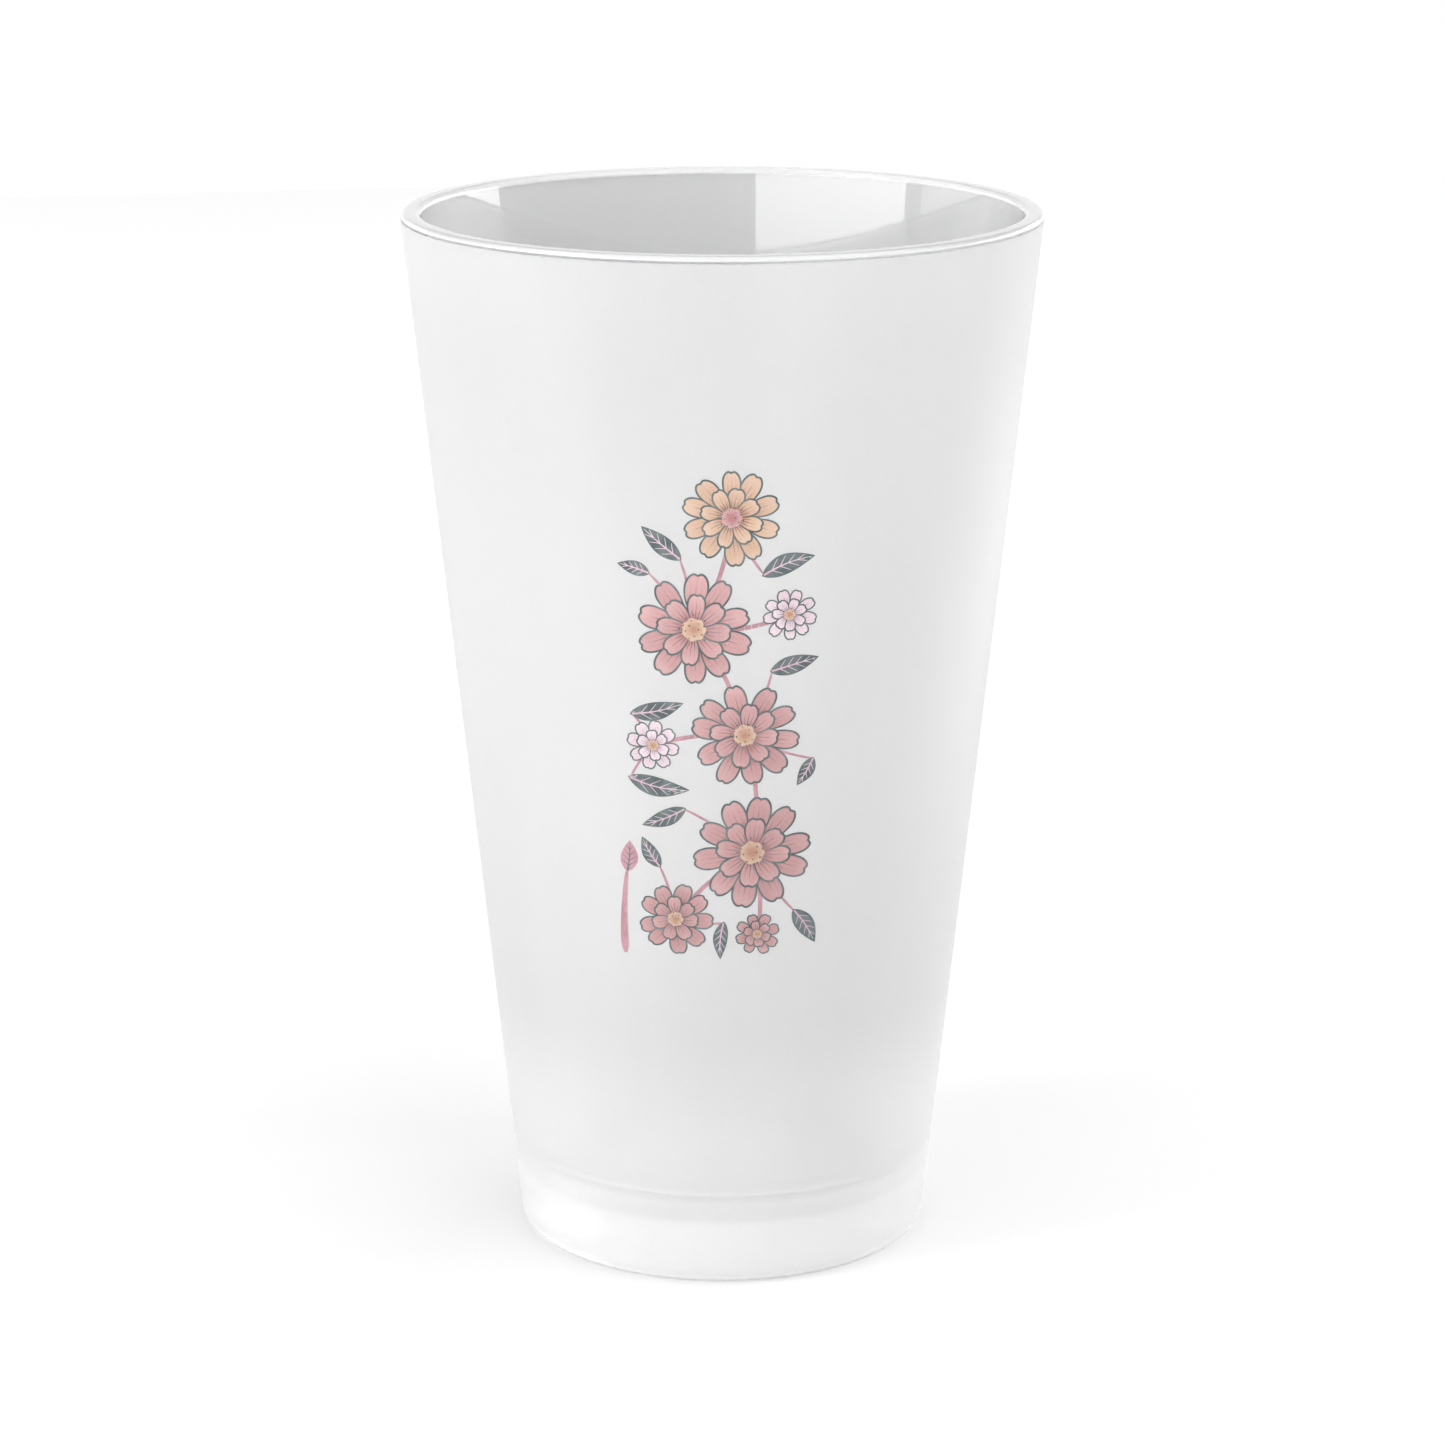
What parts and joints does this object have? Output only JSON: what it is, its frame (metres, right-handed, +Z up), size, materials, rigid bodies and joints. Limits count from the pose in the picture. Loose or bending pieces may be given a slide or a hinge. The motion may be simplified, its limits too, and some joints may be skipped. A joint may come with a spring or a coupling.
{
  "type": "pint glass",
  "caption": "Tapered frosted drinking glass with a thick base, a bare polished lip and a printed flower spray on the front.",
  "frame": {"origin": "centre of the foot, on the plane that the glass stands on", "axes": "+Z up along the glass's axis towards the mouth, -Y towards the printed front, +X to the right of the print"},
  "size_m": [0.0888, 0.0888, 0.1475],
  "materials": {
    "clear_glass": "clear soda-lime glass, fire polished",
    "frost": "fine satin frost, translucent",
    "gold_ink": "matt printed ink",
    "rose_ink": "matt printed ink",
    "blush_ink": "matt printed ink",
    "leaf_ink": "matt printed ink",
    "stalk_ink": "matt printed ink"
  },
  "bodies": {
    "root": {"glass_body": "clear_glass", "frost_coating": "frost", "print_gold_ink": "gold_ink", "print_rose_ink": "rose_ink", "print_blush_ink": "blush_ink", "print_leaf_ink": "leaf_ink", "print_stalk_ink": "stalk_ink"}
  },
  "joints": []
}
